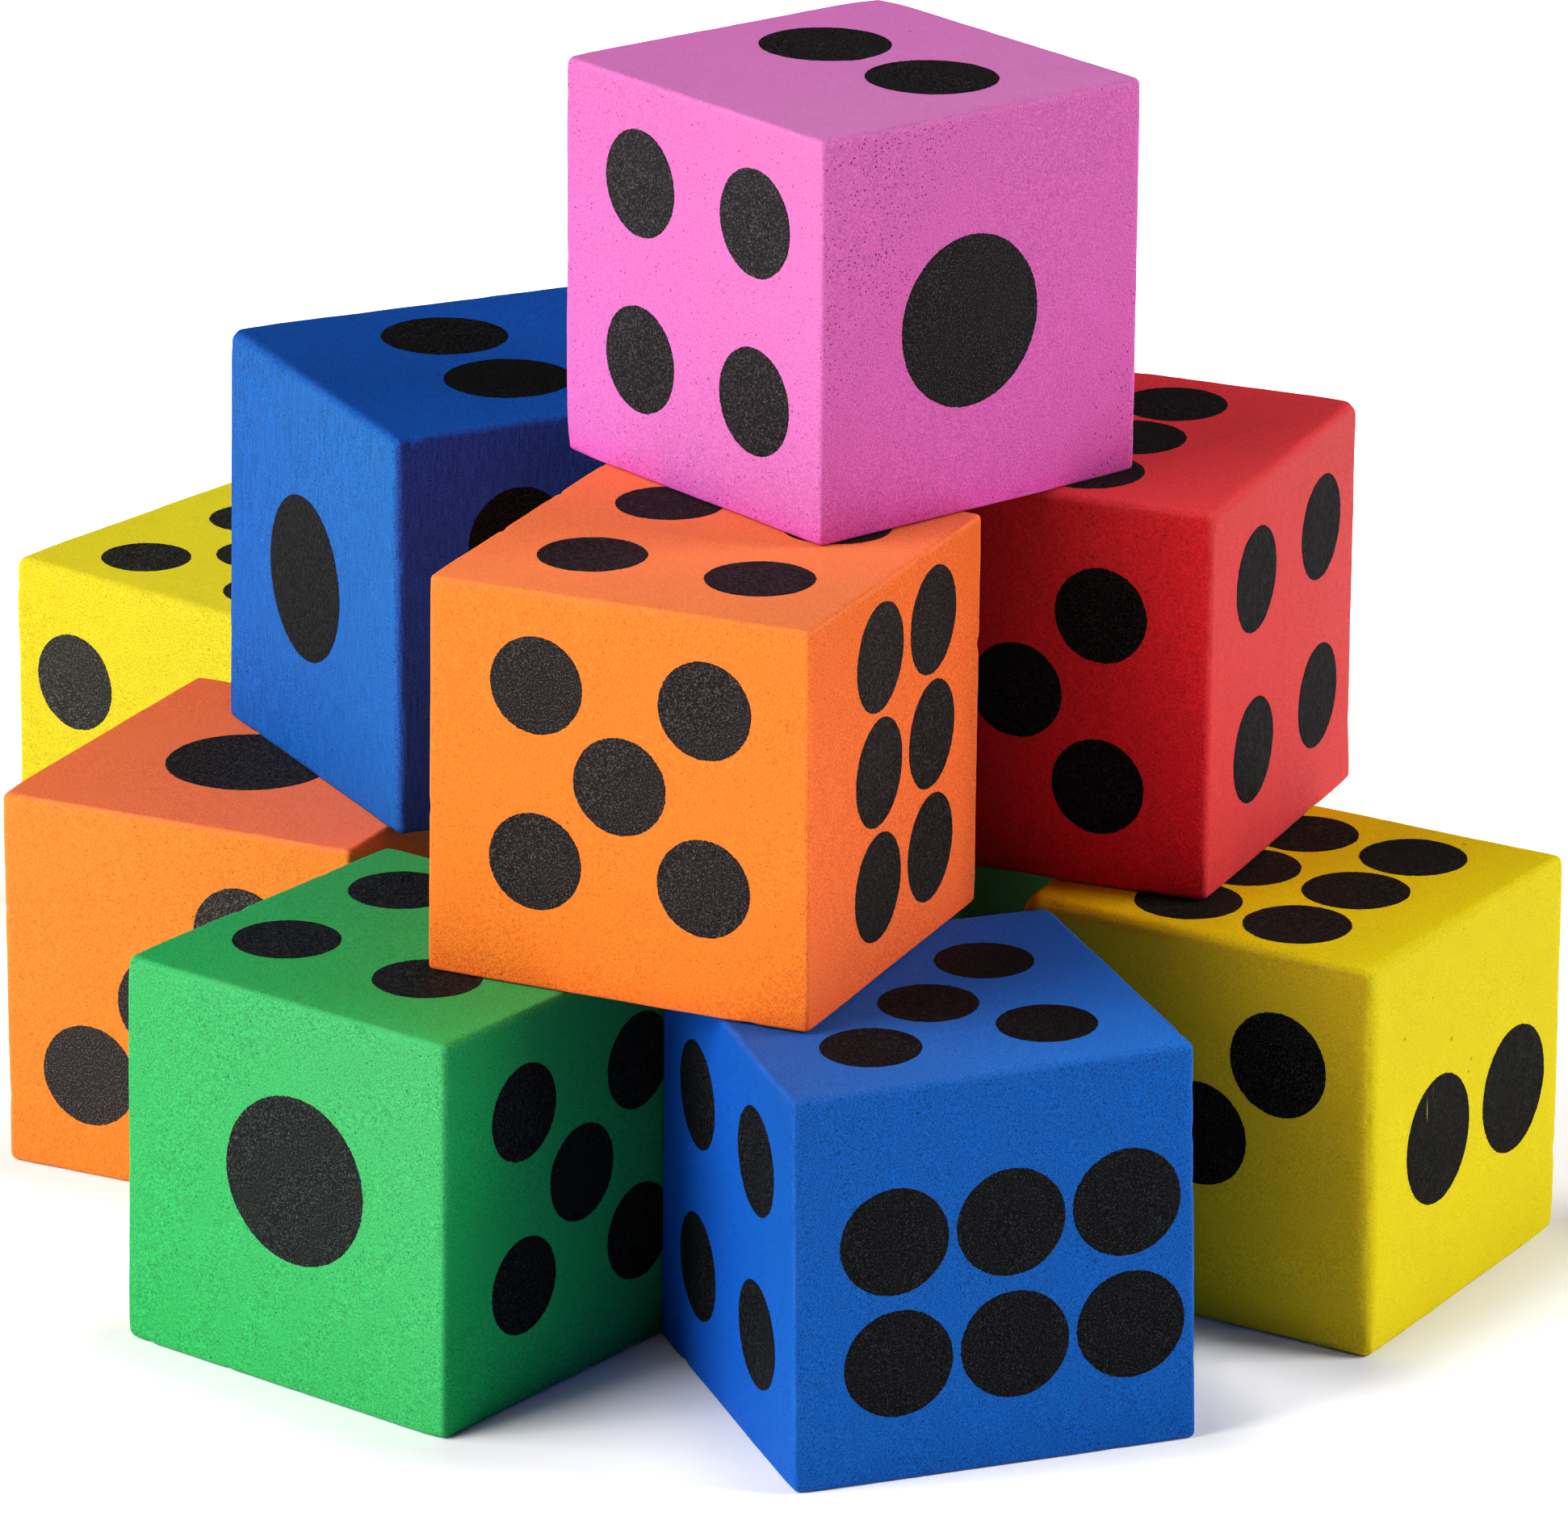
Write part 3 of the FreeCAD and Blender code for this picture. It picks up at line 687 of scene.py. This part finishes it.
def foam_material(die):
    look = die.look
    colour = look["foam"]
    mat, tree = nodes_of(die.name + "_foam")
    g = Graph(tree)
    own, vec = local_vector(g, die)
    opened = g.node("ShaderNodeAttribute", attribute_name="open", attribute_type="GEOMETRY").outputs["Fac"]
    edge_wear_and_highlight = g.node("ShaderNodeAttribute", attribute_name="edge_wear_and_highlight", attribute_type="GEOMETRY").outputs["Fac"]
    # cell pattern: 0.15 to 0.3 mm cells with soft walls, and coarser clumps of them
    fine = g.math("SUBTRACT", g.noise(vec, 6000.0, 1.5, 0.6), 0.5)
    clump = g.math("SUBTRACT", g.noise(vec, 1900.0, 2.0, 0.55), 0.5)
    mottle = g.math("SUBTRACT", g.noise(vec, 420.0, 2.0, 0.5), 0.5)
    broad = g.math("SUBTRACT", g.noise(vec, 70.0, 3.0, 0.5), 0.5)
    # pores: open cells seen as small dark dots, and here and there a larger hole
    pore = dots(g, vec, 3200.0, look["pores"], 0.38, 0.12)
    pit = dots(g, vec, 520.0, 0.10, 0.13, 0.03)
    # brightness of the base colour
    v = g.math("MULTIPLY", fine, 1.9)
    v = g.math("MULTIPLY_ADD", clump, 0.22, v)
    deep = look.get("deep", 0.55)
    v = g.math("MULTIPLY_ADD", pore, -deep, v)
    # bump: cells, clumps and pores
    height = g.math("MULTIPLY", fine, 0.70)
    height = g.math("MULTIPLY_ADD", clump, 0.25, height)
    height = g.math("MULTIPLY_ADD", pore, -0.80, height)
    if look["streak"]:
        # the knife's marks, along the die's height
        streak = g.math("SUBTRACT", g.noise(g.scaled(vec, (1.0, 1.0, 0.16)), 3000.0, 1.5, 0.6), 0.5)
        v = g.math("MULTIPLY_ADD", streak, 1.6 * look["streak"], v)
        height = g.math("MULTIPLY_ADD", streak, 1.3 * look["streak"], height)
    v = g.math("MULTIPLY", v, opened)
    height = g.math("MULTIPLY", height, opened)
    v = g.math("MULTIPLY_ADD", mottle, 0.09, v)
    v = g.math("MULTIPLY_ADD", broad, 0.08, v)
    v = g.math("MULTIPLY_ADD", pit, -0.5, v)
    v = g.math("MAXIMUM", g.math("ADD", v, 1.0 + 0.18 * deep * look["pores"]), 0.08)
    # painted light and shade, face by face, that multiplies the foam's colour
    painted_light_and_shade = g.node("ShaderNodeAttribute", attribute_name="painted_light_and_shade", attribute_type="GEOMETRY").outputs["Color"]
    base = g.node("ShaderNodeVectorMath", {0: painted_light_and_shade, 1: colour}, operation="MULTIPLY")
    base = g.node("ShaderNodeVectorMath", {0: base.outputs[0]}, operation="SCALE")
    g.put(base.inputs["Scale"], v)
    base = base.outputs[0]
    # rubbed edges are a little paler, in patches; on the edges named in rim this paleness is made stronger as a painted
    # highlight
    patch = g.ramp(g.noise(vec, 300.0, 3.0, 0.6), 0.32, 0.70)
    pale = tuple(min(1.0, c * 1.14 + 0.020) for c in colour) + (1.0,)
    base = g.mix(g.math("MULTIPLY", g.math("MULTIPLY", edge_wear_and_highlight, patch), 0.34, clamp=True), base, pale)
    # a few crumbs of paler foam dust
    crumb = dots(g, vec, 260.0, 0.035, 0.045, 0.012)
    base = g.mix(g.math("MULTIPLY", crumb, 0.5), base, look.get("crumb", (0.55, 0.45, 0.42, 1.0)))
    bump = g.node("ShaderNodeBump", {"Strength": look.get("bump", 0.5), "Distance": 0.00006, "Height": height})
    bsdf = g.node(
        "ShaderNodeBsdfPrincipled",
        {
            "Base Color": base,
            "Roughness": g.ramp(clump, -0.2, 0.2, 0.70, 0.84),
            "IOR": 1.45,
            "Specular IOR Level": 0.12,
            "Subsurface Weight": 0.22,
            "Subsurface Radius": (1.0, 0.85, 0.75),
            "Subsurface Scale": 0.0011,
            "Normal": bump.outputs[0],
        },
    )
    out = g.node("ShaderNodeOutputMaterial")
    tree.links.new(bsdf.outputs[0], out.inputs["Surface"])
    return mat


def ink_material(die):
    look = die.look
    colour = look["foam"]
    mat, tree = nodes_of(die.name + "_ink")
    g = Graph(tree)
    own, vec = local_vector(g, die)
    fine = g.math("SUBTRACT", g.noise(vec, 6200.0, 2.0, 0.7), 0.5)
    clump = g.math("SUBTRACT", g.noise(vec, 1900.0, 2.0, 0.55), 0.5)
    broad = g.math("SUBTRACT", g.noise(vec, 150.0, 3.0, 0.5), 0.5)
    # tone: the print's tone by face, with painted shade and painted light on the top, left and right faces
    tone = g.node("ShaderNodeAttribute", attribute_name="tone", attribute_type="GEOMETRY").outputs["Fac"]
    # the print is uneven: it pools in the cells and thins on their walls
    grit = g.ramp(fine, 0.0, 0.24, 0.0, 7.5)
    v = g.math("MULTIPLY_ADD", fine, 2.0, grit)
    v = g.math("MULTIPLY_ADD", clump, 0.9, v)
    v = g.math("MULTIPLY_ADD", broad, 0.5, v)
    v = g.math("MAXIMUM", g.math("ADD", v, 0.55), 0.05)
    tinge = tuple(0.0066 + 0.0050 * c for c in colour)
    ink = g.node("ShaderNodeVectorMath", {0: tinge}, operation="SCALE")
    g.put(ink.inputs["Scale"], g.math("MULTIPLY", v, tone))
    # bare cells that the print missed
    speck = dots(g, vec, 2600.0, look.get("bare", 0.10), 0.24, 0.08)
    bare = tuple(0.30 * c + 0.05 for c in colour) + (1.0,)
    base = g.mix(g.math("MULTIPLY", g.math("MULTIPLY", speck, tone), 0.5), ink.outputs[0], bare)
    if "scuff" in look:
        # thin upright scratches through the print, in one place
        spot, reach = look["scuff"]
        off = g.node("ShaderNodeVectorMath", {0: own, 1: tuple(c * MM for c in spot)}, operation="SUBTRACT")
        away = g.node("ShaderNodeVectorMath", {0: off.outputs[0]}, operation="LENGTH").outputs["Value"]
        near = g.ramp(away, reach * MM * 0.35, reach * MM, 1.0, 0.0)
        line = g.noise(g.scaled(vec, (1.0, 1.0, 0.05)), 2600.0, 2.0, 0.5)
        line = g.ramp(g.math("MULTIPLY_ADD", near, 0.10, line), 0.70, 0.80, 0.0, 0.75)
        worn_ink = tuple(0.62 * c + 0.03 for c in colour) + (1.0,)
        base = g.mix(g.math("MULTIPLY", line, near), base, worn_ink)
    height = g.math("MULTIPLY", fine, 0.65)
    height = g.math("MULTIPLY_ADD", clump, 0.85, height)
    bump = g.node("ShaderNodeBump", {"Strength": 0.6, "Distance": 0.00006, "Height": height})
    bsdf = g.node(
        "ShaderNodeBsdfPrincipled",
        {
            "Base Color": base,
            "Roughness": g.ramp(clump, -0.2, 0.2, 0.60, 0.76),
            "IOR": 1.45,
            "Specular IOR Level": g.math("MULTIPLY", tone, 0.10),
            "Normal": bump.outputs[0],
        },
    )
    out = g.node("ShaderNodeOutputMaterial")
    tree.links.new(bsdf.outputs[0], out.inputs["Surface"])
    return mat


# ------------------------------------------------------------------ the dice
for name in DICE:
    die = Die(name)
    body = name + "_die"
    block = bpy.data.objects.new(name + "_foam", foam_mesh(die))
    bpy.context.scene.collection.objects.link(block)
    block.data.materials.append(foam_material(die))
    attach(block, body)
    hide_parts(name + "_foam_block")
    ink = bpy.data.objects.new(name + "_ink", ink_mesh(die))
    bpy.context.scene.collection.objects.link(ink)
    ink.data.materials.append(ink_material(die))
    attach(ink, body)
    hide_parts(name + "_printed_pips")


# ------------------------------------------------------------------ floor, light
steps = np.concatenate([[-9, -4, -2, -1, -0.6, -0.4, -0.3], np.linspace(-0.24, 0.24, 161), [0.3, 0.4, 0.6, 1, 2, 4, 9]])
fx, fy = np.meshgrid(steps, steps - 0.02, indexing="ij")
fp = np.stack([fx.ravel(), fy.ravel(), np.zeros(fx.size)], 1)
fi = np.arange(fx.size).reshape(fx.shape)
floor_mesh = to_mesh(
    "floor", fp, [np.stack([fi[:-1, :-1], fi[1:, :-1], fi[1:, 1:], fi[:-1, 1:]], -1).reshape(-1, 4)], False
)
# how far each point of the sheet is from the nearest die that stands on it
away = np.full(len(fp), 99.0)
for name in ("green_front", "blue_front", "yellow_right", "orange_left", "yellow_left", "green_back"):
    low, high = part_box(name + "_foam_block")
    mid, half, turn = (low + high) / 2, (high.z - low.z) / 2, math.radians(DICE[name]["turn"])
    dx, dy = fp[:, 0] - mid.x, fp[:, 1] - mid.y
    lx, ly = math.cos(turn) * dx + math.sin(turn) * dy, -math.sin(turn) * dx + math.cos(turn) * dy
    gap = np.hypot(np.maximum(np.abs(lx) - half, 0), np.maximum(np.abs(ly) - half, 0))
    away = np.minimum(away, gap)
    if name == "green_front":
        # the side turned away from the key light keeps its shadow
        nook = np.exp(-(((lx - half) / 0.022) ** 2) - ((ly + 0.35 * half) / 0.028) ** 2)


def rise(d, lo, hi):
    t = np.clip((d - lo) / (hi - lo), 0, 1)
    return t * t * (3 - 2 * t)


# painted light: how strongly the floor glows, rising with the distance from the dice and held back in the nook
white = 0.36 * rise(away, 0.001, 0.012) * (1 - nook) + 0.45 * rise(away, 0.012, 0.10) * (1 - nook) + 0.30 * rise(away, 0.4, 1.5)
glow = floor_mesh.attributes.new("white", "FLOAT", "POINT")
glow.data.foreach_set("value", white.astype(np.float32))
floor = bpy.data.objects.new("floor", floor_mesh)
bpy.context.scene.collection.objects.link(floor)
fmat, ftree = nodes_of("floor_paper")
fg = Graph(ftree)
fvec = fg.node("ShaderNodeTexCoord").outputs["Object"]
fibre = fg.ramp(fg.noise(fg.scaled(fvec, (0.25, 1.0, 1.0)), 900.0, 3.0, 0.6), 0.3, 0.7, 0.0, 1.0, False)
fbase = fg.mix(fibre, (0.895, 0.895, 0.90, 1.0), (0.915, 0.915, 0.918, 1.0))
# painted light: the floor glows, not at all next to the dice or in the nook, more further out, so that their shadows
# end close to them and the sheet far from the lights is as white as under them
white_sheet = fg.node("ShaderNodeAttribute", attribute_name="white", attribute_type="GEOMETRY").outputs["Fac"]
fbsdf = fg.node(
    "ShaderNodeBsdfPrincipled",
    {
        "Base Color": fbase,
        "Roughness": 0.9,
        "Specular IOR Level": 0.1,
        "Emission Color": (1.0, 1.0, 1.0, 1.0),
        "Emission Strength": white_sheet,
    },
)
fout = fg.node("ShaderNodeOutputMaterial")
ftree.links.new(fbsdf.outputs[0], fout.inputs["Surface"])
floor.data.materials.append(fmat)

# A pale dome far outside the lights is what the camera sees past the floor. It casts no light on the dice.
dome_rings, dome_sides = 16, 48
dome_points = [(0.0, 0.0, 8.5)]
for i in range(1, dome_rings + 1):
    a = math.radians(92.0 * i / dome_rings)
    for j in range(dome_sides):
        b = 2 * math.pi * j / dome_sides
        dome_points.append((8.5 * math.sin(a) * math.cos(b), 8.5 * math.sin(a) * math.sin(b), 8.5 * math.cos(a)))
dome_tris = [(0, 1 + (j + 1) % dome_sides, 1 + j) for j in range(dome_sides)]
dome_quads = []
for i in range(dome_rings - 1):
    for j in range(dome_sides):
        a, b = 1 + i * dome_sides, 1 + (i + 1) * dome_sides
        k = (j + 1) % dome_sides
        dome_quads.append((a + j, a + k, b + k, b + j))
dome = bpy.data.objects.new("dome", to_mesh("dome", dome_points, [dome_tris, dome_quads]))
bpy.context.scene.collection.objects.link(dome)
dmat, dtree = nodes_of("dome_cloth")
dg = Graph(dtree)
cloth = dg.node("ShaderNodeEmission", {"Color": (1.0, 1.0, 1.0, 1.0), "Strength": 1.0})
dout = dg.node("ShaderNodeOutputMaterial")
dtree.links.new(cloth.outputs[0], dout.inputs["Surface"])
dome.data.materials.append(dmat)
dome.visible_diffuse = dome.visible_glossy = dome.visible_transmission = dome.visible_shadow = False

TARGET = Vector((0.0, -0.02, 0.05))


def area(name, azimuth, elevation, size, power):
    """A soft light: azimuth 0 is the camera's side (-Y), positive to the right."""
    a, e = math.radians(azimuth), math.radians(elevation)
    where = TARGET + 0.95 * Vector((math.sin(a) * math.cos(e), -math.cos(a) * math.cos(e), math.sin(e)))
    data = bpy.data.lights.new(name, "AREA")
    data.shape = "RECTANGLE"
    data.size = data.size_y = size
    data.energy = power
    light = bpy.data.objects.new(name, data)
    light.matrix_world = Matrix.Translation(where) @ (TARGET - where).to_track_quat("-Z", "Y").to_matrix().to_4x4()
    bpy.context.scene.collection.objects.link(light)
    return light


# a large soft key from the left, built from panels, and a smaller one from the right
area("left_middle", -60, 32, 0.42, 5.3)
area("left_side", -85, 32, 0.42, 4.7)
area("left_low", -60, 8, 0.42, 3.9)
area("left_high", -60, 58, 0.42, 1.8)
area("right_side", 85, 32, 0.42, 7.1)
area("right_low", 85, 8, 0.42, 1.7)
area("behind", 180, 50, 0.60, 0.35)

world = bpy.data.worlds.new("studio")
bpy.context.scene.world = world
world.use_nodes = True
world.node_tree.nodes["Background"].inputs["Color"].default_value = (1, 1, 1, 1)
world.node_tree.nodes["Background"].inputs["Strength"].default_value = 0.02
bpy.context.scene.view_settings.view_transform = "Standard"
bpy.context.scene.view_settings.look = "None"
